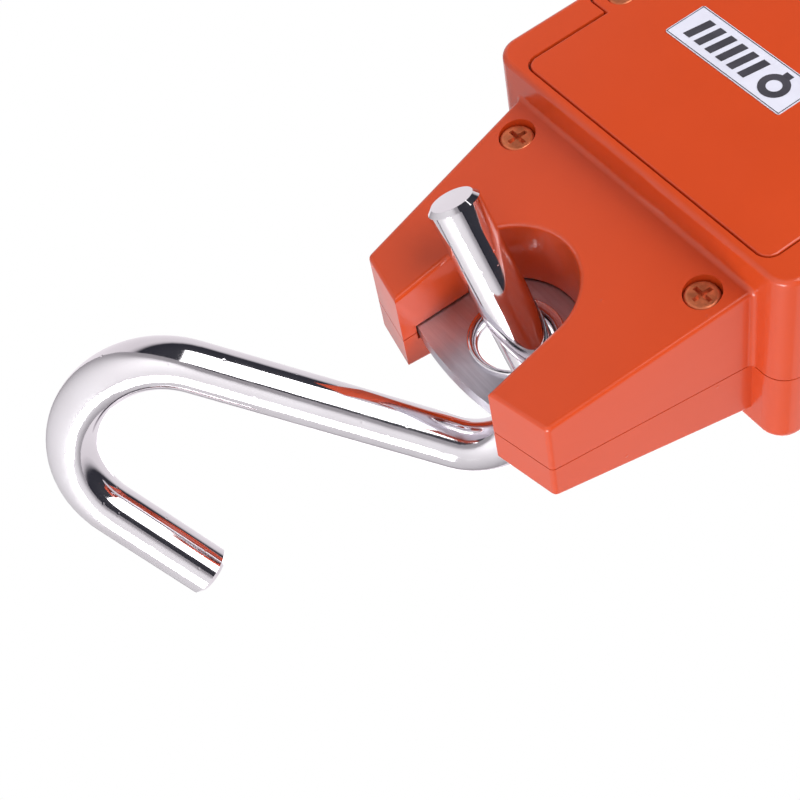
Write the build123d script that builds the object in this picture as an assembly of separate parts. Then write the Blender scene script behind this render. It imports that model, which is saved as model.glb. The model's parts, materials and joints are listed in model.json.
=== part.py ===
from build123d import *
import math
import os

# Hanging digital scale: a two-part cast casing, a steel load plate with an eye at each end,
# and a round-bar hook in each eye. Millimetres, +Z up along the load line, front towards -Y.
# The origin is the bearing point of the upper hook. Everything but the hooks is drawn about
# the middle of the casing and moved into place when it is written out.

# --- hook bar (both hooks are bent alike) ---
BAR_R = 5.0
BEND1_R = 12.1
BEND2_R = 17.9
LEG_LEN = 36.4
SHANK_LEN = 51.1
TIP_LEN = 23.7
BEND1_DEG = 135.2
BEND2_DEG = 159.3
BAR_CHAMFER = 0.9

# --- casing ---
BODY_HALF_W = 39.6
BODY_HALF_H = 40.0
BACK_Y = 26.9
FRONT_Y = -19.0
WALL = 2.4
BODY_CORNER_R = 5.0
BACK_EDGE_R = 1.1
FRONT_EDGE_R = 3.0
STEP_R = 1.2
SEAM_GROOVE = 0.12
SEAM_GROOVE_DEPTH = 0.45

# --- necks, measured outwards from the casing's middle ---
SCREW_Z = 45.8
SCREW_X = 25.5
NECK_ROOT_HALF_W = 31.9
NECK_TIP_HALF_W = 26.3
TIP_OUTER_Z = 80.9
TIP_LIP_Z = 83.4
NECK_BACK_Y = 19.2
NECK_FRONT_Y = -12.9
NECK_SLOPE = 0.2
NECK_FRONT_SLOPE = 0.128
NECK_BACK_EDGE_R = 0.9
NECK_FRONT_EDGE_R = 1.1
NOTCH_R = 13.1
NOTCH_X = 1.1
NOTCH_LIP_HALF_W = 13.7
NOTCH_LIP_X = 0.7
EYE_Z = 68.0

# --- load plate and eye bushes ---
PLATE_T = 3.0
PLATE_HALF_W = 18.0
PLATE_END_Z = 81.5
PLATE_END_R = 64.4
POCKET_GAP = 0.4
POCKET_HALF_Y = 1.9
BUSH_BODY_R = 8.3
BUSH_FLANGE_R = 9.0
BUSH_THROAT_R = 7.0
BUSH_HALF_Y = 2.35

# --- battery door and cells ---
DOOR_HALF_W = 32.4
DOOR_HALF_H = 37.7
DOOR_T = 2.2
DOOR_GAP = 0.45
DOOR_CORNER_R = 2.6
EAR_OUT_X = 38.0
EAR_Z = -12.9
EAR_HALF_H = 5.0
EAR_SCREW_X = 34.4
CELL_R = 5.25
CELL_LEN = 44.5
CELL_PITCH = 11.2
FLOOR_Y = 24.5
FLOOR_T = 2.0

# --- front ---
WINDOW_Z = 11.0
WINDOW_W = 50.0
WINDOW_H = 22.0
BUTTON_Z = -19.0
BUTTON_PITCH = 19.0
BUTTON_R = 5.0
BUTTON_TRAVEL = 0.6
BOARD_BACK_Y = -8.3
BOARD_T = 1.6

# --- screw heads ---
HEAD_R = 3.25
HEAD_T = 2.0
CASE_HEAD_Y = 16.6
CASE_SCREW_END = -9.5
BOARD_SCREW_X = 31.0
PLATE_SCREW_X = 11.0
PLATE_SCREW_Z = 31.0
TRAY_SCREW_X = 23.0
TRAY_SCREW_Z = 18.0

NODES = {}


def keep(name, shape):
    NODES[name] = shape


def box(x0, x1, y0, y1, z0, z1):
    return Pos((x0 + x1) / 2, (y0 + y1) / 2, (z0 + z1) / 2) * Box(x1 - x0, y1 - y0, z1 - z0)


def rod_y(x, z, r, y0, y1):
    """Cylinder along Y."""
    return Pos(x, (y0 + y1) / 2, z) * (Rot(90, 0, 0) * Cylinder(r, y1 - y0))


def rod_z(x, y, r, z0, z1):
    """Cylinder along Z."""
    return Pos(x, y, (z0 + z1) / 2) * Cylinder(r, z1 - z0)


def plate_xz(face, y0, y1):
    """A sketch drawn as (x, z) and made solid from y0 to y1."""
    solid = extrude(Plane.XY * face, y1 - y0, dir=(0, 0, 1))
    return Pos(0, y1, 0) * (Rot(90, 0, 0) * solid)


def rounded_xz(half_w, half_h, radius, y0, y1, x=0.0, z=0.0):
    face = RectangleRounded(2 * half_w, 2 * half_h, radius)
    return Pos(x, 0, z) * plate_xz(face, y0, y1)


def flip(shape):
    """The same shape at the other end of the casing."""
    return mirror(shape, about=Plane.XY)


def both_ends(shape):
    return shape + flip(shape)


def y_edges_at(shape, y, tol=0.05):
    """Edges that lie wholly in the plane of that y."""
    found = []
    for edge in shape.edges():
        box_ = edge.bounding_box()
        if abs(box_.min.Y - y) < tol and abs(box_.max.Y - y) < tol:
            found.append(edge)
    return ShapeList(found)


# ---------------------------------------------------------------- casing outline
def neck_prism():
    """Upper neck seen from the front, tapering to two tips either side of the notch."""
    face = Polygon(
        (-NECK_ROOT_HALF_W, BODY_HALF_H - 4),
        (-NECK_ROOT_HALF_W, BODY_HALF_H),
        (-NECK_TIP_HALF_W, TIP_OUTER_Z),
        (NOTCH_LIP_X - NOTCH_LIP_HALF_W, TIP_LIP_Z),
        (NOTCH_LIP_X + NOTCH_LIP_HALF_W, TIP_LIP_Z),
        (NECK_TIP_HALF_W, TIP_OUTER_Z),
        (NECK_ROOT_HALF_W, BODY_HALF_H),
        (NECK_ROOT_HALF_W, BODY_HALF_H - 4),
        align=None,
    )
    outer = [v for v in face.vertices() if abs(v.Y - TIP_OUTER_Z) < 0.01]
    face = fillet(outer, 1.2)
    notch = Pos(NOTCH_X, EYE_Z) * Circle(NOTCH_R)
    # the walls of the notch open slightly from the round bottom to the lips
    notch += Polygon(
        (NOTCH_X - NOTCH_R, EYE_Z),
        (NOTCH_X + NOTCH_R, EYE_Z),
        (NOTCH_LIP_X + NOTCH_LIP_HALF_W, TIP_LIP_Z),
        (NOTCH_LIP_X + NOTCH_LIP_HALF_W, TIP_LIP_Z + 5),
        (NOTCH_LIP_X - NOTCH_LIP_HALF_W, TIP_LIP_Z + 5),
        (NOTCH_LIP_X - NOTCH_LIP_HALF_W, TIP_LIP_Z),
        align=None,
    )
    return face - notch


def neck(rear):
    """One half of the upper neck: its broad face slopes towards the tips."""
    face = neck_prism()
    z_in = BODY_HALF_H - 6
    z_out = 90
    if rear:
        solid = plate_xz(face, 0, 30)
        y_root = NECK_BACK_Y - NECK_SLOPE * (z_in - SCREW_Z)
        y_tip = NECK_BACK_Y - NECK_SLOPE * (z_out - SCREW_Z)
        far = 40
    else:
        solid = plate_xz(face, -30, 0)
        y_root = NECK_FRONT_Y + NECK_FRONT_SLOPE * (z_in - SCREW_Z)
        y_tip = NECK_FRONT_Y + NECK_FRONT_SLOPE * (z_out - SCREW_Z)
        far = -40
    wedge = Polygon((y_root, z_in), (far, z_in), (far, z_out), (y_tip, z_out), align=None)
    cutter = extrude(Plane.YZ * wedge, 50, both=True)
    solid = solid - cutter
    sloped = []
    for f in solid.faces():
        n = f.normal_at(f.center())
        if abs(n.Y) > 0.9 and abs(n.Z) > 0.1:
            sloped.append(f)
    edges = ShapeList()
    for f in sloped:
        for e in f.edges():
            if e.center().Z > BODY_HALF_H - 3.9 and e.bounding_box().max.Z > BODY_HALF_H + 1:
                edges.append(e)
    return fillet(edges, NECK_BACK_EDGE_R if rear else NECK_FRONT_EDGE_R)


def body_half(rear):
    y0, y1 = (0, BACK_Y) if rear else (FRONT_Y, 0)
    solid = rounded_xz(BODY_HALF_W, BODY_HALF_H, BODY_CORNER_R, y0, y1)
    return fillet(y_edges_at(solid, BACK_Y if rear else FRONT_Y), BACK_EDGE_R if rear else FRONT_EDGE_R)


def plate_outline(extra=0.0):
    """Load plate seen from the front; both ends are shallow arcs."""
    half_w = PLATE_HALF_W + extra
    length = PLATE_END_Z + extra
    face = Rectangle(2 * half_w, 40)
    for end in (-1, 1):
        half = Pos(0, end * length / 2) * Rectangle(2 * half_w, length)
        disc = Pos(0, end * (PLATE_END_Z - PLATE_END_R)) * Circle(PLATE_END_R + extra)
        face += half & disc
    corners = [v for v in face.vertices() if abs(v.Y) > 40]
    return fillet(corners, 1.5)


pocket = plate_xz(plate_outline(POCKET_GAP), -POCKET_HALF_Y, POCKET_HALF_Y)

# ---------------------------------------------------------------- screws
def cross_head(x, z, r_head, y_under, head_t, r_shank, y_end, toward=1, cross=None):
    """Pan-head screw along Y with a cross recess; toward is the way its head faces."""
    y_top = y_under + toward * head_t
    head = rod_y(x, z, r_head, min(y_under, y_top), max(y_under, y_top))
    head = fillet(y_edges_at(head, y_top, 0.01), min(0.7, head_t * 0.45))
    shank = rod_y(x, z, r_shank, min(y_end, y_under), max(y_end, y_under))
    size = cross if cross else r_head * 1.25
    deep = head_t * 0.6
    a = y_top - toward * deep
    slot1 = box(x - size / 2, x + size / 2, min(a, y_top), max(a, y_top), z - 0.45, z + 0.45)
    slot2 = box(x - 0.45, x + 0.45, min(a, y_top), max(a, y_top), z - size / 2, z + size / 2)
    return head + shank - slot1 - slot2


# ---------------------------------------------------------------- rear shell
def step_edges(solid):
    """Inside corners where the sloping neck backs meet the ends of the body."""
    found = []
    for e in solid.edges():
        c = e.center()
        at_end = abs(abs(c.Z) - BODY_HALF_H) < 0.01 and abs(c.X) < 1
        if at_end and NECK_BACK_Y < c.Y < BACK_Y - 3:
            found.append(e)
    return found


def door_face(extra=0.0):
    """Door outline: a rounded rectangle with a screw ear on each side."""
    wide = 2 * (DOOR_HALF_W + extra)
    high = 2 * (DOOR_HALF_H + extra)
    face = RectangleRounded(wide, high, DOOR_CORNER_R + extra)
    ear = RectangleRounded(2 * (EAR_OUT_X + extra), 2 * (EAR_HALF_H + extra), 1.8 + extra)
    return face + Pos(0, EAR_Z) * ear


def seam_groove():
    """Fine square groove all round the outside where the two shells meet."""
    outline = RectangleRounded(2 * BODY_HALF_W, 2 * BODY_HALF_H, BODY_CORNER_R)
    top = neck_prism()
    outline = outline + top + mirror(top, about=Plane.XZ)
    inner = offset(outline, -SEAM_GROOVE_DEPTH, kind=Kind.INTERSECTION)
    slab = plate_xz(outline, -SEAM_GROOVE, SEAM_GROOVE)
    return slab - plate_xz(inner, -1, 1)


groove = seam_groove()


def rear_shell():
    solid = body_half(True) + both_ends(neck(True))
    solid = fillet(step_edges(solid), STEP_R)
    inner_w = BODY_HALF_W - WALL
    inner_h = BODY_HALF_H - WALL
    solid -= rounded_xz(inner_w, inner_h, 3.0, -1, FLOOR_Y - FLOOR_T)
    for x in (-1, 1):
        solid += rod_y(x * 34.2, -32.5, 3.4, 0.0, FLOOR_Y - FLOOR_T + 0.5)
        solid += rod_y(x * 34.2, 32.5, 3.4, 0.0, FLOOR_Y - FLOOR_T + 0.5)
    # seat of the battery door and the opening for the cells
    solid -= plate_xz(door_face(DOOR_GAP), FLOOR_Y, BACK_Y + 1)
    solid -= rounded_xz(19.4, 26.4, 2.0, FLOOR_Y - FLOOR_T - 1, FLOOR_Y + 1)
    for x in (-1, 1):
        solid += rod_y(x * EAR_SCREW_X, EAR_Z, 3.6, 12.0, FLOOR_Y)
        solid -= rod_y(x * EAR_SCREW_X, EAR_Z, 1.6, 13.0, FLOOR_Y + 1)
    # slots for the door's two tabs
    for x in (-18, 18):
        z = DOOR_HALF_H
        solid -= box(x - 4.3, x + 4.3, FLOOR_Y - 0.1, FLOOR_Y + 1.45, z, z + 1.4)
    solid -= pocket
    solid -= groove
    # posts that carry the load plate at its upper, fixed end
    for x in (-PLATE_SCREW_X, PLATE_SCREW_X):
        solid += rod_y(x, PLATE_SCREW_Z, 4.2, PLATE_T / 2, FLOOR_Y - FLOOR_T + 0.2)
        solid -= rod_y(x, PLATE_SCREW_Z, 2.05, 1.0, 13.0)
    # the four casing screws: counterbore in the sloping face, then a clear hole
    for x in (-1, 1):
        for z in (-1, 1):
            solid -= rod_y(x * SCREW_X, z * SCREW_Z, 3.5, CASE_HEAD_Y, 30)
            solid -= rod_y(x * SCREW_X, z * SCREW_Z, 1.7, -1, CASE_HEAD_Y + 1)
    # blind holes for the screws of the battery tray
    for x in (-TRAY_SCREW_X, TRAY_SCREW_X):
        for z in (-TRAY_SCREW_Z, TRAY_SCREW_Z):
            solid -= rod_y(x, z, 1.05, FLOOR_Y - FLOOR_T - 0.5, FLOOR_Y - 0.4)
    return solid


def front_shell():
    solid = body_half(False) + both_ends(neck(False))
    inner_w = BODY_HALF_W - WALL
    inner_h = BODY_HALF_H - WALL
    solid -= rounded_xz(inner_w, inner_h, 3.0, FRONT_Y + WALL, 1)
    # four posts under the board
    for x in (-BOARD_SCREW_X, BOARD_SCREW_X):
        for z in (-BOARD_SCREW_X, BOARD_SCREW_X):
            solid += rod_y(x, z, 3.0, FRONT_Y + WALL - 0.5, BOARD_BACK_Y - BOARD_T)
            solid -= rod_y(x, z, 1.3, FRONT_Y + WALL + 1.5, BOARD_BACK_Y)
    # seat of the printed overlay, display opening and button holes
    solid -= rounded_xz(34.3, 34.3, 4.3, FRONT_Y - 1, FRONT_Y + 0.6)
    y_in = FRONT_Y + WALL + 1
    solid -= rounded_xz(WINDOW_W / 2 + 2.2, WINDOW_H / 2 + 2.2, 1.5, FRONT_Y - 1, y_in, z=WINDOW_Z)
    for i in (-1, 0, 1):
        solid -= rod_y(i * BUTTON_PITCH, BUTTON_Z, BUTTON_R + 0.3, FRONT_Y - 1, y_in)
    solid -= pocket
    solid -= groove
    for x in (-1, 1):
        for z in (-1, 1):
            solid -= rod_y(x * SCREW_X, z * SCREW_Z, 1.55, CASE_SCREW_END - 0.8, 1)
    return solid


keep("rear_shell", rear_shell())
keep("front_shell", front_shell())

case_screws = []
for x in (-SCREW_X, SCREW_X):
    for z in (-SCREW_Z, SCREW_Z):
        case_screws.append(cross_head(x, z, HEAD_R, CASE_HEAD_Y, HEAD_T, 1.5, CASE_SCREW_END))
keep("case_screws", Compound(children=case_screws))


# ---------------------------------------------------------------- load plate
def load_plate():
    solid = plate_xz(plate_outline(), -PLATE_T / 2, PLATE_T / 2)
    for z in (-EYE_Z, EYE_Z):
        solid -= rod_y(0, z, BUSH_BODY_R, -5, 5)
    # two slits from opposite sides leave an S-shaped spring between the ends
    solid -= box(-30, 9, -5, 5, 9.0, 12.0)
    solid -= rod_y(9, 10.5, 3.0, -5, 5)
    solid -= box(-9, 30, -5, 5, -12.0, -9.0)
    solid -= rod_y(-9, -10.5, 3.0, -5, 5)
    for x in (-PLATE_SCREW_X, PLATE_SCREW_X):
        solid -= rod_y(x, PLATE_SCREW_Z, 2.2, -5, 5)
    return solid


keep("load_plate", load_plate())


def bush():
    """Polished eye liner, flared on both faces so that the hook bar can tilt in it."""
    flare = BUSH_THROAT_R + 1.5
    out = BUSH_FLANGE_R
    y = BUSH_HALF_Y
    under = PLATE_T / 2 + 0.02
    outline = [
        Line((flare, y), (out - 0.3, y)),
        ThreePointArc((out - 0.3, y), (out - 0.09, y - 0.09), (out, y - 0.3)),
        Line((out, y - 0.3), (out, under)),
        Line((out, under), (BUSH_BODY_R - 0.03, under)),
        Line((BUSH_BODY_R - 0.03, under), (BUSH_BODY_R - 0.03, -under)),
        Line((BUSH_BODY_R - 0.03, -under), (out, -under)),
        Line((out, -under), (out, -y + 0.3)),
        ThreePointArc((out, -y + 0.3), (out - 0.09, -y + 0.09), (out - 0.3, -y)),
        Line((out - 0.3, -y), (flare, -y)),
        ThreePointArc((flare, -y), (BUSH_THROAT_R, 0), (flare, y)),
    ]
    face = make_face(outline)
    return revolve(face, Axis.Y, 360)


keep("upper_eye_bush", Pos(0, 0, EYE_Z) * bush())
keep("lower_eye_bush", Pos(0, 0, -EYE_Z) * bush())

# strain gauges on the front of the spring, under a soft cover
plate_front = -PLATE_T / 2
cover_front = plate_front - 1.6
gauges = []
gauge_cover = rounded_xz(9.0, 5.5, 1.5, cover_front, plate_front)
for x in (-4.5, 4.5):
    gauges.append(box(x - 2.5, x + 2.5, plate_front - 0.25, plate_front, -3.5, 3.5))
    gauge_cover -= box(x - 2.6, x + 2.6, plate_front - 0.35, plate_front + 1, -3.6, 3.6)
keep("strain_gauges", Compound(children=gauges))
keep("gauge_cover", gauge_cover)

plate_screws = []
for x in (-PLATE_SCREW_X, PLATE_SCREW_X):
    plate_screws.append(cross_head(x, PLATE_SCREW_Z, 3.6, plate_front, 2.2, 2.0, 12.0, toward=-1))
keep("plate_screws", Compound(children=plate_screws))


# ---------------------------------------------------------------- battery door
def battery_door():
    y0 = BACK_Y - DOOR_T
    solid = plate_xz(door_face(), y0, BACK_Y)
    solid = fillet(y_edges_at(solid, BACK_Y), 0.4)
    for x in (-18, 18):
        solid += box(x - 4, x + 4, y0, y0 + 1.2, DOOR_HALF_H - 1, DOOR_HALF_H + 0.3)
    for x in (-1, 1):
        solid -= rod_y(x * EAR_SCREW_X, EAR_Z, 2.95, BACK_Y - 1.0, BACK_Y + 1)
        solid -= rod_y(x * EAR_SCREW_X, EAR_Z, 1.6, y0 - 1, BACK_Y + 1)
    return solid


keep("battery_door", battery_door())
door_screws = []
for x in (-EAR_SCREW_X, EAR_SCREW_X):
    door_screws.append(cross_head(x, EAR_Z, 2.7, BACK_Y - 1.0, 0.9, 1.45, 14.0))
keep("door_screws", Compound(children=door_screws))

LABEL_W = 30.2
LABEL_H = 9.6
LABEL_X = 5.9
LABEL_Z = -8.9
label = rounded_xz(LABEL_W / 2, LABEL_H / 2, 0.6, BACK_Y + 0.01, BACK_Y + 0.16, x=LABEL_X, z=LABEL_Z)
keep("capacity_label", label)


# ---------------------------------------------------------------- battery tray, cells, contacts
TRAY_BOTTOM = 10.2
CELL_Y = 17.6


def battery_tray():
    solid = rounded_xz(19.0, 26.0, 1.8, TRAY_BOTTOM, FLOOR_Y - 0.1)
    solid += rounded_xz(26.0, 23.0, 2.0, FLOOR_Y - FLOOR_T - 1.2, FLOOR_Y - FLOOR_T - 0.05)
    solid -= rounded_xz(17.4, 24.4, 1.0, TRAY_BOTTOM + 1.4, FLOOR_Y + 1)
    for x in (-CELL_PITCH / 2, CELL_PITCH / 2):
        solid += box(x - 0.25, x + 0.25, TRAY_BOTTOM + 1.0, TRAY_BOTTOM + 5.5, -17, 17)
    for i in (-1, 0, 1):
        solid -= rod_z(i * CELL_PITCH, CELL_Y, CELL_R + 0.1, -24.0, 24.0)
    for x in (-TRAY_SCREW_X, TRAY_SCREW_X):
        for z in (-TRAY_SCREW_Z, TRAY_SCREW_Z):
            solid -= rod_y(x, z, 1.2, 15, 25)
    return solid


keep("battery_tray", battery_tray())
tray_screws = []
under = FLOOR_Y - FLOOR_T - 1.2
for x in (-TRAY_SCREW_X, TRAY_SCREW_X):
    for z in (-TRAY_SCREW_Z, TRAY_SCREW_Z):
        tray_screws.append(cross_head(x, z, 1.9, under, 1.3, 0.95, FLOOR_Y - 0.6, toward=-1))
keep("tray_screws", Compound(children=tray_screws))


def cell(x, up):
    """AAA cell along Z with its raised positive end up or down."""
    can = rod_z(0, 0, CELL_R - 0.05, -CELL_LEN / 2, CELL_LEN / 2 - 0.8)
    rims = [e for e in can.edges() if e.geom_type == GeomType.CIRCLE]
    can = fillet(rims, 0.5)
    can += rod_z(0, 0, 1.9, CELL_LEN / 2 - 1.0, CELL_LEN / 2)
    if not up:
        can = Rot(180, 0, 0) * can
    return Pos(x, CELL_Y, 0) * can


for i, name in ((-1, "cell_1"), (0, "cell_2"), (1, "cell_3")):
    keep(name, cell(i * CELL_PITCH, i != 0))

contact_plates = []
for side in (-1, 1):
    for i in (-1, 0, 1):
        x = i * CELL_PITCH
        plate = box(x - 4.4, x + 4.4, 13.2, 22.0, -0.24, 0.24)
        contact_plates.append(Pos(0, 0, side * 24.14) * plate)
keep("contact_plates", Compound(children=contact_plates))


def contact_spring(x, side):
    """Small conical stack of turns between the contact plate and the flat end of a cell."""
    shape = None
    for n, r in ((0, 3.2), (1, 2.7)):
        ring = Pos(x, CELL_Y, side * (23.55 - 0.62 * n)) * Torus(r, 0.3)
        shape = ring if shape is None else shape + ring
    link = box(x - 3.35, x - 2.5, CELL_Y - 0.3, CELL_Y + 0.3, -0.4, 0.4)
    return shape + Pos(0, 0, side * 23.2) * link


springs = []
for i in (-1, 0, 1):
    springs.append(contact_spring(i * CELL_PITCH, 1 if i == 0 else -1))
keep("contact_springs", Compound(children=springs))

# ---------------------------------------------------------------- electronics
board_front = BOARD_BACK_Y - BOARD_T
board = rounded_xz(34.5, 34.5, 2.0, board_front, BOARD_BACK_Y)
board_screws = []
for x in (-BOARD_SCREW_X, BOARD_SCREW_X):
    for z in (-BOARD_SCREW_X, BOARD_SCREW_X):
        board -= rod_y(x, z, 1.4, -15, 0)
        board_screws.append(cross_head(x, z, 2.4, BOARD_BACK_Y, 1.6, 1.2, -14.6))
keep("main_board", board)
keep("board_screws", Compound(children=board_screws))
chips = [
    box(-10, -1, BOARD_BACK_Y, BOARD_BACK_Y + 1.4, 12, 21),
    box(6, 14, BOARD_BACK_Y, BOARD_BACK_Y + 1.4, 14, 19),
    box(-24, -14, BOARD_BACK_Y, BOARD_BACK_Y + 3.0, -8, -4),
    box(-24, -16, BOARD_BACK_Y, BOARD_BACK_Y + 3.0, -22, -18),
    box(8, 12, BOARD_BACK_Y, BOARD_BACK_Y + 2.0, -12, -6),
]
keep("board_parts", Compound(children=chips))
buzzer = rod_y(21, -24, 6.0, BOARD_BACK_Y, BOARD_BACK_Y + 4.6)
buzzer -= rod_y(21, -24, 1.0, BOARD_BACK_Y + 3.6, 0)
keep("buzzer", buzzer)

lcd_half_w = WINDOW_W / 2 + 4.0
lcd_half_h = WINDOW_H / 2 + 4.0
frame_ring = rounded_xz(lcd_half_w + 1.5, lcd_half_h + 1.5, 1.5, -16.5, board_front, z=WINDOW_Z)
frame_ring -= rounded_xz(lcd_half_w, lcd_half_h, 0.6, -16.0, board_front + 1, z=WINDOW_Z)
frame_ring -= rounded_xz(WINDOW_W / 2, WINDOW_H / 2, 0.6, -17, -12, z=WINDOW_Z)
keep("lcd_frame", frame_ring)
for name, y0, y1 in (("lcd_glass", -15.95, -13.6), ("lcd_backlight", -13.5, -10.2)):
    x = lcd_half_w - 0.2
    z = lcd_half_h - 0.2
    keep(name, box(-x, x, y0, y1, WINDOW_Z - z, WINDOW_Z + z))
y_lens = FRONT_Y + 0.6
lens = rounded_xz(WINDOW_W / 2 + 1.9, WINDOW_H / 2 + 1.9, 1.4, y_lens, y_lens + 1.3, z=WINDOW_Z)
keep("window_lens", lens)
overlay = rounded_xz(34.0, 34.0, 4.0, FRONT_Y, FRONT_Y + 0.6)
overlay -= rounded_xz(WINDOW_W / 2, WINDOW_H / 2, 1.2, FRONT_Y - 1, FRONT_Y + 1, z=WINDOW_Z)
for i in (-1, 0, 1):
    overlay -= rod_y(i * BUTTON_PITCH, BUTTON_Z, BUTTON_R + 0.3, FRONT_Y - 1, FRONT_Y + 1)
keep("front_overlay", overlay)

# each key: a cap with a retaining flange, the plunger behind it and the switch on the board
for i, word in ((-1, "power"), (0, "hold"), (1, "tare")):
    x = i * BUTTON_PITCH
    cap = rod_y(x, BUTTON_Z, BUTTON_R, FRONT_Y - 1.1, -16.0)
    cap = fillet(y_edges_at(cap, FRONT_Y - 1.1, 0.01), 0.6)
    cap += rod_y(x, BUTTON_Z, BUTTON_R + 1.3, -16.3, -15.3)
    cap += rod_y(x, BUTTON_Z, 1.6, -15.4, -13.9)
    keep(word + "_button", cap)
    keep(word + "_plunger", rod_y(x, BUTTON_Z, 1.5, -13.9, -12.4))
    switch = box(x - 3, x + 3, -13.2, board_front, BUTTON_Z - 3, BUTTON_Z + 3)
    switch -= rod_y(x, BUTTON_Z, 1.6, -14, -11.6)
    keep(word + "_switch", switch)


def lead(points, r):
    """Round wire along a path of straight runs with eased corners."""
    path = FilletPolyline(*points, radius=1.6)
    start = Plane(origin=path @ 0, z_dir=path % 0)
    return sweep(start * Circle(r), path=path)


leads = []
for z in (-6.0, -20.0):
    run = [(-19.1, 14.0, z), (-28.0, 14.0, z), (-28.0, -3.0, z), (-20.0, -3.0, z), (-20.0, -5.2, z)]
    leads.append(lead(run, 0.7))
keep("battery_leads", Compound(children=leads))
leads = []
for x in (-6.0, -4.4, 4.4, 6.0):
    run = [(x, cover_front - 0.1, 3.2), (x, -5.6, 3.2), (x, -5.6, 9.4), (x, -8.2, 9.4)]
    leads.append(lead(run, 0.35))
keep("gauge_leads", Compound(children=leads))


# ---------------------------------------------------------------- hooks
# centre of bend 2 in the hook's own plane, with the centre of bend 1 as the origin
turn = math.radians(BEND1_DEG)
BEND2_U = math.sin(turn) * (BEND1_R + BEND2_R) + math.cos(turn) * SHANK_LEN
BEND2_V = -math.cos(turn) * (BEND1_R + BEND2_R) + math.sin(turn) * SHANK_LEN


def hook_bar():
    """Bar drawn in its own plane: leg, bend 1, shank, bend 2, tip."""
    leg = Line((-LEG_LEN, -BEND1_R), (0, -BEND1_R))
    bend1 = CenterArc((0, 0), BEND1_R, -90, BEND1_DEG)
    shank = Line(bend1 @ 1, (bend1 @ 1) + (bend1 % 1) * SHANK_LEN)
    bend2 = CenterArc((BEND2_U, BEND2_V), BEND2_R, BEND1_DEG + 90, -BEND2_DEG)
    tip = Line(bend2 @ 1, (bend2 @ 1) + (bend2 % 1) * TIP_LEN)
    path = Wire([leg, bend1, shank, bend2, tip])
    start = Plane(origin=path @ 0, z_dir=path % 0)
    solid = sweep(start * Circle(BAR_R), path=path)
    around = 2 * math.pi * BAR_R
    rings = [e for e in solid.edges() if e.geom_type == GeomType.CIRCLE and abs(e.length - around) < 0.2]
    first = sorted(rings, key=lambda e: (e.center() - (path @ 0)).length)[0]
    last = sorted(rings, key=lambda e: (e.center() - (path @ 1)).length)[0]
    return chamfer([first, last], BAR_CHAMFER)


BAR = hook_bar()

# From the bearing point down: bend 1 of the upper hook, the upper eye, the middle of the casing.
EYE_BEARING_GAP = 0.3
BEND1_Z = -(BEND2_R - BAR_R) - math.hypot(BEND2_U, BEND2_V)
UPPER_EYE_Z = BEND1_Z - (BEND1_R - BAR_R) - BUSH_THROAT_R + EYE_BEARING_GAP
MID_Z = UPPER_EYE_Z - EYE_Z

# The upper hook hangs in the load line: the line through both bend centres is vertical.
up = Vector(BEND2_U, BEND2_V, 0).normalized()
hang = Plane(origin=(0, 0, BEND1_Z), x_dir=Vector(0, -up.Y, up.X), z_dir=Vector(-1, 0, 0))
keep("upper_hook", hang * BAR)

# The lower hook lies swung out to one side, its leg standing through the eye.
LOWER_BEND1 = Vector(1.90, -8.25, MID_Z - SCREW_Z - 30.94)
LEG_DIR = Vector(-0.489, -0.871, 0.051)
PLANE_NORMAL = Vector(0.776, -0.407, 0.481)
rest = Plane(origin=LOWER_BEND1, x_dir=LEG_DIR, z_dir=PLANE_NORMAL)
keep("lower_hook", rest * BAR)

# ---------------------------------------------------------------- write the parts
os.makedirs("parts", exist_ok=True)
for node, shape in NODES.items():
    if node not in ("upper_hook", "lower_hook"):
        shape = Pos(0, 0, MID_Z) * shape
    export_step(shape, "parts/" + node + ".step")
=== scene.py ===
import bpy
import json
import math
from mathutils import Matrix, Vector


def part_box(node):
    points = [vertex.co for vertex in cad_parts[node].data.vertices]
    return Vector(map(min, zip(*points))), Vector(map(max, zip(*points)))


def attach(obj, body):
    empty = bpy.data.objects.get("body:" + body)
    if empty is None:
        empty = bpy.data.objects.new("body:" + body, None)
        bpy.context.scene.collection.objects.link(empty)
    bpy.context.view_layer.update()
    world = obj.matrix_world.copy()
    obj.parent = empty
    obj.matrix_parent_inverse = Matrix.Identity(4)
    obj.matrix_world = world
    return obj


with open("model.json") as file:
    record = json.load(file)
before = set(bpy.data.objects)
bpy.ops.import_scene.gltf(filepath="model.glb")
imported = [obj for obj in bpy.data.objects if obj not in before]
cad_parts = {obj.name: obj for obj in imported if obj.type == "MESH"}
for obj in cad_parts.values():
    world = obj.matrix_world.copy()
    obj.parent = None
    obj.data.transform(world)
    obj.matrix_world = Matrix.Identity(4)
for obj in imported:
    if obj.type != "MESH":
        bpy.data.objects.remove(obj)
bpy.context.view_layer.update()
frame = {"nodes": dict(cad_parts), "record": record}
nodes = frame["nodes"]
MM = 0.001


# ------------------------------------------------------------------ materials
def new_material(name):
    m = bpy.data.materials.new(name)
    m.use_nodes = True
    nt = m.node_tree
    return m, nt, nt.nodes["Principled BSDF"]


def add(nt, kind, **values):
    n = nt.nodes.new(kind)
    for k, v in values.items():
        setattr(n, k, v)
    return n


def noise(nt, scale, detail=3.0, rough=0.5, stretch=(1, 1, 1)):
    """Noise in object space; returns its Fac output."""
    tc = add(nt, "ShaderNodeTexCoord")
    mp = add(nt, "ShaderNodeMapping")
    mp.inputs["Scale"].default_value = stretch
    nt.links.new(tc.outputs["Object"], mp.inputs["Vector"])
    n = add(nt, "ShaderNodeTexNoise")
    n.inputs["Scale"].default_value = scale
    n.inputs["Detail"].default_value = detail
    n.inputs["Roughness"].default_value = rough
    nt.links.new(mp.outputs["Vector"], n.inputs["Vector"])
    return n.outputs["Fac"]


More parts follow.
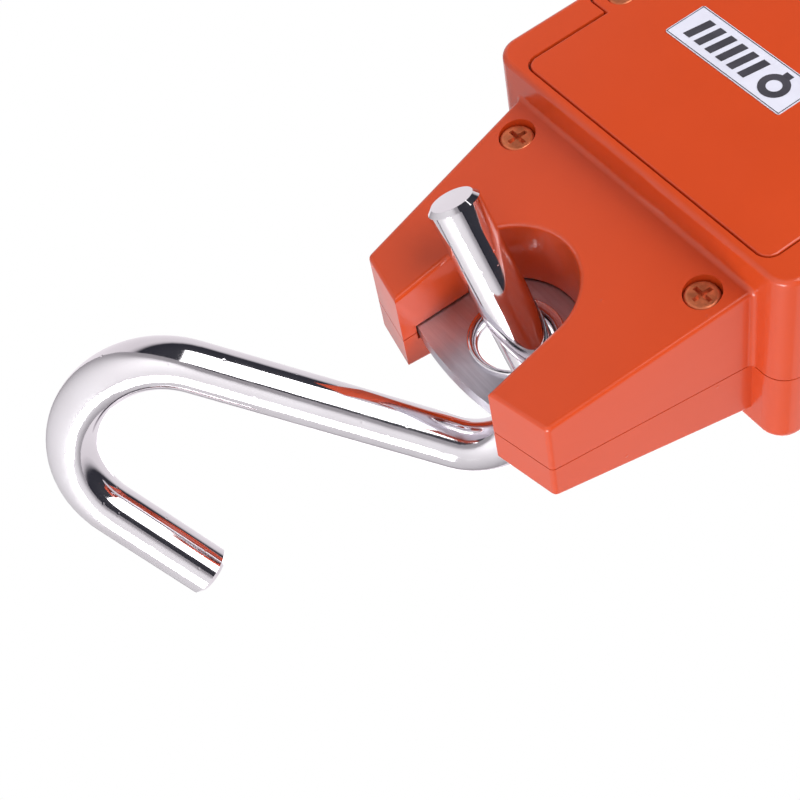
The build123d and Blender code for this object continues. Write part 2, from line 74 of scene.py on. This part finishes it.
def ramp(nt, fac, stops):
    r = add(nt, "ShaderNodeValToRGB")
    els = r.color_ramp.elements
    while len(els) < len(stops):
        els.new(0.5)
    for e, (p, c) in zip(els, stops):
        e.position = p
        e.color = (*c, 1) if len(c) == 3 else c
    nt.links.new(fac, r.inputs["Fac"])
    return r.outputs["Color"]


def grey(v):
    return (v, v, v)


def bump(nt, bsdf, fac, strength, distance, under=None):
    b = add(nt, "ShaderNodeBump")
    b.inputs["Strength"].default_value = strength
    b.inputs["Distance"].default_value = distance
    nt.links.new(fac, b.inputs["Height"])
    if under is not None:
        nt.links.new(under, b.inputs["Normal"])
    nt.links.new(b.outputs["Normal"], bsdf.inputs["Normal"])
    return b.outputs["Normal"]


def simple(name, colour, rough=0.5, metal=0.0, vary=0.06, scale=300, depth=0.00002):
    """Plain finish with a little mottling in colour and a fine surface grain."""
    m, nt, b = new_material(name)
    dark = tuple(c * (1 - vary) for c in colour)
    light = tuple(min(1, c * (1 + vary)) for c in colour)
    nt.links.new(ramp(nt, noise(nt, scale), [(0.35, dark), (0.65, light)]), b.inputs["Base Color"])
    b.inputs["Metallic"].default_value = metal
    r = ramp(nt, noise(nt, scale * 0.6), [(0.3, grey(rough * 0.85)), (0.7, grey(min(1, rough * 1.15)))])
    nt.links.new(r, b.inputs["Roughness"])
    bump(nt, b, noise(nt, scale * 4, 4), 0.3, depth)
    return m


def specks(nt, scale, size, height=1.0):
    """Sparse round nibs, as dust makes under a coat; returns a height."""
    tc = add(nt, "ShaderNodeTexCoord")
    v = add(nt, "ShaderNodeTexVoronoi")
    v.inputs["Scale"].default_value = scale
    v.inputs["Randomness"].default_value = 1.0
    nt.links.new(tc.outputs["Object"], v.inputs["Vector"])
    dot = add(nt, "ShaderNodeMapRange")
    dot.interpolation_type = "SMOOTHSTEP"
    dot.inputs["From Min"].default_value = 0.0
    dot.inputs["From Max"].default_value = size
    dot.inputs["To Min"].default_value = height
    dot.inputs["To Max"].default_value = 0.0
    nt.links.new(v.outputs["Distance"], dot.inputs["Value"])
    return dot.outputs[0]


def paint():
    """Orange gloss coat on a die casting: slight orange peel, nibs of dust, soft changes of tone."""
    m, nt, b = new_material("orange_coat")
    tint = ramp(nt, noise(nt, 28, 3), [(0.2, (0.55, 0.054, 0.008)), (0.8, (0.61, 0.062, 0.010))])
    nt.links.new(tint, b.inputs["Base Color"])
    nt.links.new(ramp(nt, noise(nt, 90, 3), [(0.1, grey(0.30)), (0.9, grey(0.36))]), b.inputs["Roughness"])
    b.inputs["Specular IOR Level"].default_value = 0.35
    b.inputs["Coat Weight"].default_value = 0.42
    b.inputs["Coat Roughness"].default_value = 0.07
    peel = bump(nt, b, noise(nt, 230, 2, 0.4), 0.10, 0.00025)
    nibs = bump(nt, b, specks(nt, 95, 0.05), 0.35, 0.00035, under=peel)
    bump(nt, b, noise(nt, 2600, 3), 0.08, 0.00003, under=nibs)
    return m


def chrome():
    """Bright plating on drawn bar: faint waviness, pits and rubbed haze."""
    m, nt, b = new_material("bright_plating")
    tint = ramp(nt, noise(nt, 60, 4), [(0.3, (0.80, 0.77, 0.80)), (0.7, (0.88, 0.86, 0.89))])
    nt.links.new(tint, b.inputs["Base Color"])
    b.inputs["Metallic"].default_value = 1.0
    haze = ramp(nt, noise(nt, 240, 5, 0.6), [(0.35, grey(0.045)), (0.85, grey(0.16))])
    nt.links.new(haze, b.inputs["Roughness"])
    wave = bump(nt, b, noise(nt, 110, 2, 0.4), 0.12, 0.0006)
    pits = bump(nt, b, specks(nt, 420, 0.16, -1.0), 0.25, 0.00012, under=wave)
    bump(nt, b, noise(nt, 1800, 4, 0.7), 0.06, 0.00003, under=pits)
    return m


def ground_steel():
    """Plain steel with fine grinding marks."""
    m, nt, b = new_material("ground_steel")
    grain = noise(nt, 90, 5, 0.6, (1, 1, 14))
    tint = ramp(nt, grain, [(0.3, (0.56, 0.54, 0.60)), (0.7, (0.68, 0.66, 0.72))])
    nt.links.new(tint, b.inputs["Base Color"])
    b.inputs["Metallic"].default_value = 1.0
    marks = ramp(nt, noise(nt, 140, 5, 0.6, (1, 1, 20)), [(0.3, grey(0.34)), (0.7, grey(0.44))])
    nt.links.new(marks, b.inputs["Roughness"])
    bump(nt, b, noise(nt, 400, 6, 0.7, (1, 1, 30)), 0.3, 0.00003)
    return m


def clear():
    """Clear acrylic of the display window."""
    m, nt, b = new_material("clear_acrylic")
    b.inputs["Base Color"].default_value = (0.93, 0.95, 0.95, 1)
    b.inputs["Transmission Weight"].default_value = 1.0
    b.inputs["IOR"].default_value = 1.2
    nt.links.new(ramp(nt, noise(nt, 400, 3), [(0.3, grey(0.02)), (0.8, grey(0.06))]), b.inputs["Roughness"])
    return m


ORANGE = paint()
CHROME = chrome()
STEEL = ground_steel()
SCREW = simple("brown_screw", (0.62, 0.17, 0.07), 0.35, 0.55, 0.25, 500, 0.00004)
FILM = simple("label_film", (0.70, 0.70, 0.80), 0.35, 0.0, 0.03, 200, 0.00001)
PRINT = simple("label_print", (0.045, 0.042, 0.055), 0.45, 0.0, 0.15, 300, 0.00001)
BLACK = simple("black_moulding", (0.018, 0.018, 0.02), 0.45, 0.0, 0.2, 400)
OVERLAY = simple("overlay_film", (0.020, 0.022, 0.028), 0.30, 0.0, 0.15, 600, 0.00002)
PALE = simple("pale_print", (0.62, 0.63, 0.66), 0.45, 0.0, 0.05, 300, 0.00001)
LCD = simple("display_glass", (0.33, 0.38, 0.28), 0.18, 0.0, 0.03, 60, 0.000005)
SEGMENT = simple("display_segment", (0.03, 0.035, 0.03), 0.3, 0.0, 0.1, 200, 0.000005)
GHOST = simple("display_ghost", (0.28, 0.33, 0.24), 0.25, 0.0, 0.03, 200, 0.000005)
KEY = simple("key_moulding", (0.55, 0.56, 0.58), 0.42, 0.0, 0.05, 350)
BOARD = simple("board_mask", (0.02, 0.13, 0.05), 0.35, 0.0, 0.25, 90)
JACKET = simple("cell_jacket", (0.05, 0.09, 0.14), 0.3, 0.5, 0.1, 80)
NICKEL = simple("nickel_contact", (0.62, 0.60, 0.55), 0.3, 1.0, 0.1, 300)
LEAD = simple("lead_skin", (0.40, 0.03, 0.02), 0.45, 0.0, 0.08, 300)
AMBER = simple("gauge_film", (0.55, 0.30, 0.06), 0.35, 0.0, 0.1, 300)
POTTING = simple("gauge_potting", (0.60, 0.60, 0.56), 0.5, 0.0, 0.05, 200)
WINDOW = clear()

BY_SLOT = {
    "orange_paint": ORANGE,
    "plated_bar": CHROME,
    "ground_steel": STEEL,
    "bronzed_screw": SCREW,
    "label_film": FILM,
    "black_plastic": BLACK,
    "overlay_film": OVERLAY,
    "clear_window": WINDOW,
    "lcd": LCD,
    "backlight_panel": PALE,
    "key_grey": KEY,
    "circuit_board": BOARD,
    "component_black": BLACK,
    "cell_jacket": JACKET,
    "contact_metal": NICKEL,
    "lead_red": LEAD,
    "gauge_film": AMBER,
    "gauge_potting": POTTING,
}
for part in frame["record"]["subparts"]:
    piece = nodes[part["node"]]
    piece.data.materials.clear()
    piece.data.materials.append(BY_SLOT[part["material_slot"]])


# ------------------------------------------------------------------ thin printed marks
THICK = 0.00006
THIN = 0.00004
THINNEST = 0.00003
LIFT = 0.00001


def flat_piece(name, polygons, place, material, body, thick=THICK):
    """Polygons in millimetres (u, v), laid on a plane by place(u, v, height), a little thick."""
    verts = []
    faces = []
    for poly in polygons:
        n = len(poly)
        base = len(verts)
        verts += [place(u, v, 0.0) for u, v in poly]
        verts += [place(u, v, thick) for u, v in poly]
        faces.append([base + i for i in reversed(range(n))])
        faces.append([base + n + i for i in range(n)])
        for i in range(n):
            j = (i + 1) % n
            faces.append([base + i, base + j, base + n + j, base + n + i])
    mesh = bpy.data.meshes.new(name)
    mesh.from_pydata(verts, [], faces)
    mesh.update()
    obj = bpy.data.objects.new(name, mesh)
    bpy.context.scene.collection.objects.link(obj)
    mesh.materials.append(material)
    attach(obj, body)
    return obj


def arc_strip(cx, cy, r0, r1, a0, a1, n=20):
    """A ring segment as quads."""
    quads = []
    for i in range(n):
        a = math.radians(a0 + (a1 - a0) * i / n)
        b = math.radians(a0 + (a1 - a0) * (i + 1) / n)
        quads.append([
            (cx + r0 * math.cos(a), cy + r0 * math.sin(a)),
            (cx + r1 * math.cos(a), cy + r1 * math.sin(a)),
            (cx + r1 * math.cos(b), cy + r1 * math.sin(b)),
            (cx + r0 * math.cos(b), cy + r0 * math.sin(b)),
        ])
    return quads


def rect(x0, x1, y0, y1, lean=0.0):
    return [(x0, y0), (x1, y0), (x1 + lean, y1), (x0 + lean, y1)]


def outline(x0, x1, y0, y1, wide):
    """The line round a rectangle, inside its edge."""
    return [
        rect(x0, x1, y1 - wide, y1),
        rect(x0, x1, y0, y0 + wide),
        rect(x0, x0 + wide, y0 + wide, y1 - wide),
        rect(x1 - wide, x1, y0 + wide, y1 - wide),
    ]


# capacity label: a plain row of marks, no lettering
label_lo, label_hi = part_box("capacity_label")
label_x = (label_lo.x + label_hi.x) / 2
label_z = (label_lo.z + label_hi.z) / 2


def on_label(u, v, h):
    return (label_x - u * MM, label_hi.y + LIFT + h, label_z + v * MM)


BAR_COUNT, BAR_START, BAR_PITCH, BAR_WIDE, BAR_HALF_H, BAR_LEAN = 6, -12.2, 2.9, 1.7, 2.9, 0.9
marks = []
for k in range(BAR_COUNT):
    x = BAR_START + k * BAR_PITCH
    marks.append(rect(x, x + BAR_WIDE, -BAR_HALF_H, BAR_HALF_H, BAR_LEAN))
marks += arc_strip(9.3, -0.4, 1.5, 3.0, 0, 360, 28)
marks.append(rect(8.4, 10.2, 2.5, 3.6))
flat_piece("label_marks", marks, on_label, PRINT, "door")
flat_piece("label_border", outline(-14.9, 14.9, -4.6, 4.6, 0.16), on_label, PRINT, "door", THIN)

# display digits: seven-segment zeros behind the window
glass_lo, glass_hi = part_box("lcd_glass")
glass_z = (glass_lo.z + glass_hi.z) / 2


def on_glass(u, v, h):
    return (u * MM, glass_lo.y - LIFT - h, glass_z + v * MM)


SEG_W, SEG_H, SEG_T = 6.6, 12.0, 1.15
SEG_GAP = 0.22
SEG_LEAN = 0.09


def segment(cx, key):
    """One bar of a digit, with pointed ends."""
    w, h, t, g = SEG_W / 2, SEG_H / 2, SEG_T / 2, SEG_GAP
    spots = {
        "a": ((-w, h), (w, h)), "g": ((-w, 0), (w, 0)), "d": ((-w, -h), (w, -h)),
        "f": ((-w, 0), (-w, h)), "b": ((w, 0), (w, h)), "e": ((-w, -h), (-w, 0)), "c": ((w, -h), (w, 0)),
    }
    (x0, y0), (x1, y1) = spots[key]
    if y0 == y1:
        lo, hi = x0 + g, x1 - g
        pts = [(lo, y0), (lo + t, y0 + t), (hi - t, y0 + t), (hi, y0), (hi - t, y0 - t), (lo + t, y0 - t)]
    else:
        lo, hi = y0 + g, y1 - g
        pts = [(x0, lo), (x0 + t, lo + t), (x0 + t, hi - t), (x0, hi), (x0 - t, hi - t), (x0 - t, lo + t)]
    return [(cx + x + SEG_LEAN * y, y) for x, y in pts]


lit = []
ghost = []
for cx, on in ((-17.5, ""), (-6.5, "abcdef"), (4.5, "abcdef"), (15.5, "abcdef")):
    for key in "abcdefg":
        (lit if key in on else ghost).append(segment(cx, key))
# decimal point and the battery sign
lit.append(rect(-1.9, -0.8, -6.6, -5.5))
lit += [rect(-22.4 + 1.5 * i, -21.4 + 1.5 * i, -9.6, -8.2) for i in range(3)]
lit += outline(-23.0, -17.4, -9.9, -7.9, 0.15)
flat_piece("display_digits", lit, on_glass, SEGMENT, "casing")
flat_piece("display_unlit", ghost, on_glass, GHOST, "casing", THINNEST)

# overlay border and the signs on the keys
over_lo, over_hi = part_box("front_overlay")
over_z = (over_lo.z + over_hi.z) / 2


def on_overlay(u, v, h):
    return (u * MM, over_lo.y - LIFT - h, over_z + v * MM)


# a line with round corners near the overlay's edge
LINE_W = 0.25
LINE_OUT = 31.6
LINE_R = 3.0
inner = LINE_OUT - LINE_R
line = [
    rect(-inner, inner, LINE_OUT - LINE_W, LINE_OUT),
    rect(-inner, inner, -LINE_OUT, -LINE_OUT + LINE_W),
    rect(-LINE_OUT, -LINE_OUT + LINE_W, -inner, inner),
    rect(LINE_OUT - LINE_W, LINE_OUT, -inner, inner),
]
for sx, sy, turn in ((1, 1, 0), (-1, 1, 90), (-1, -1, 180), (1, -1, 270)):
    line += arc_strip(sx * inner, sy * inner, LINE_R - LINE_W, LINE_R, turn, turn + 90, 8)
# a plain line round the window
win_lo, win_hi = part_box("window_lens")
win_z = ((win_lo.z + win_hi.z) / 2 - over_z) / MM
line += outline(-26.4, 26.4, win_z - 12.4, win_z + 12.4, 0.3)
flat_piece("overlay_lines", line, on_overlay, PALE, "casing", THIN)
for word in ("power", "hold", "tare"):
    lo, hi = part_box(word + "_button")
    kx, kz = (lo.x + hi.x) / 2, (lo.z + hi.z) / 2

    def on_key(u, v, h, kx=kx, kz=kz, ky=lo.y):
        return (kx + u * MM, ky - LIFT - h, kz + v * MM)

    if word == "power":
        sign = arc_strip(0, -0.2, 1.7, 2.2, 125, 415, 24) + [rect(-0.25, 0.25, 0.3, 2.6)]
    elif word == "hold":
        sign = [rect(-1.5, -0.6, -2.0, 2.0), rect(0.6, 1.5, -2.0, 2.0)]
    else:
        sign = arc_strip(0, 0, 1.6, 2.2, 0, 360, 28) + [rect(-2.9, 2.9, -3.2, -2.8)]
    flat_piece(word + "_sign", sign, on_key, PRINT, word + "_key")

# ------------------------------------------------------------------ floor, light, camera
FLOOR_Z = -0.62
FLOOR_HALF = 4
corners = [(x * FLOOR_HALF, y * FLOOR_HALF, FLOOR_Z) for x, y in ((-1, -1), (1, -1), (1, 1), (-1, 1))]
mesh = bpy.data.meshes.new("floor")
mesh.from_pydata(corners, [], [(0, 1, 2, 3)])
floor = bpy.data.objects.new("floor", mesh)
bpy.context.scene.collection.objects.link(floor)
fm, fnt, fb = new_material("pale_floor")
fb.inputs["Base Color"].default_value = (0.9, 0.9, 0.9, 1)
fb.inputs["Roughness"].default_value = 0.9
mesh.materials.append(fm)

bpy.context.scene.view_settings.view_transform = "Standard"
world = bpy.data.worlds.new("studio")
bpy.context.scene.world = world
world.use_nodes = True
wt = world.node_tree
back = wt.nodes["Background"]


def spread(nt, value):
    """-1..1 onto 0..1."""
    r = add(nt, "ShaderNodeMapRange")
    r.inputs["From Min"].default_value = -1.0
    r.inputs["From Max"].default_value = 1.0
    nt.links.new(value, r.inputs["Value"])
    return r.outputs[0]


tc = add(wt, "ShaderNodeTexCoord")
# reflections see white below a tilted horizon and a dark room above it
rise = add(wt, "ShaderNodeVectorMath", operation="DOT_PRODUCT")
rise.inputs[1].default_value = (-0.47, 0.69, 0.55)
wt.links.new(tc.outputs["Generated"], rise.inputs[0])
sky = ramp(wt, spread(wt, rise.outputs["Value"]), [
    (0.00, (1.00, 0.95, 0.99)),
    (0.62, (0.78, 0.74, 0.77)),
    (0.675, (0.58, 0.55, 0.58)),
    (0.73, (0.03, 0.03, 0.04)),
    (1.00, (0.05, 0.05, 0.06)),
])
wt.links.new(sky, back.inputs["Color"])
back.inputs["Strength"].default_value = 1.0
plain = add(wt, "ShaderNodeBackground")
plain.inputs["Color"].default_value = (1, 1, 1, 1)
plain.inputs["Strength"].default_value = 1.0
path = add(wt, "ShaderNodeLightPath")
mix = add(wt, "ShaderNodeMixShader")
wt.links.new(path.outputs["Is Camera Ray"], mix.inputs[0])
wt.links.new(back.outputs[0], mix.inputs[1])
wt.links.new(plain.outputs[0], mix.inputs[2])
wt.links.new(mix.outputs[0], wt.nodes["World Output"].inputs["Surface"])

# Camera near the lower hook, turned almost on its side, looking at the back of the scale.
CAM_AT = Vector((-0.1768, 0.2647, -0.33226))
CAM_RIGHT = Vector((-0.58313, -0.13647, 0.80084))
CAM_UP = Vector((0.60296, 0.58793, 0.53923))
CAM_BACK = Vector((-0.54443, 0.79732, -0.26055))
SENSOR_MM = 36
LENS_MM = 82.8
LIGHT_AIM = Vector((0, 0, -0.22))
cam = bpy.data.objects.new("camera", bpy.data.cameras.new("camera"))
bpy.context.scene.collection.objects.link(cam)
cam.data.sensor_width = SENSOR_MM
cam.data.lens = LENS_MM
cam.data.clip_start = 0.01
cam.matrix_world = Matrix((
    (CAM_RIGHT.x, CAM_UP.x, CAM_BACK.x, CAM_AT.x),
    (CAM_RIGHT.y, CAM_UP.y, CAM_BACK.y, CAM_AT.y),
    (CAM_RIGHT.z, CAM_UP.z, CAM_BACK.z, CAM_AT.z),
    (0, 0, 0, 1),
))
bpy.context.scene.camera = cam


def soft_light(name, towards, distance, size, power, along=(0, 0, 1)):
    """Area light that faces the lower neck from that direction; its first side runs along."""
    data = bpy.data.lights.new(name, "AREA")
    data.shape = "RECTANGLE"
    data.size, data.size_y = size
    data.energy = power
    obj = bpy.data.objects.new(name, data)
    bpy.context.scene.collection.objects.link(obj)
    z = Vector(towards).normalized()
    x = Vector(along)
    x = (x - x.dot(z) * z).normalized()
    y = z.cross(x)
    at = LIGHT_AIM + z * distance
    obj.matrix_world = Matrix((
        (x.x, y.x, z.x, at.x),
        (x.y, y.y, z.y, at.y),
        (x.z, y.z, z.z, at.z),
        (0, 0, 0, 1),
    ))


soft_light("softbox", (-0.44, 0.72, 0.50), 1.0, (1.14, 1.05), 14.0, along=(0.72, 0, 0.69))
soft_light("low_fill", (-0.50, -0.30, -0.80), 0.45, (0.24, 0.24), 1.8)
soft_light("front_fill", (0.35, -0.9, 0.35), 1.3, (0.7, 0.7), 3.0)
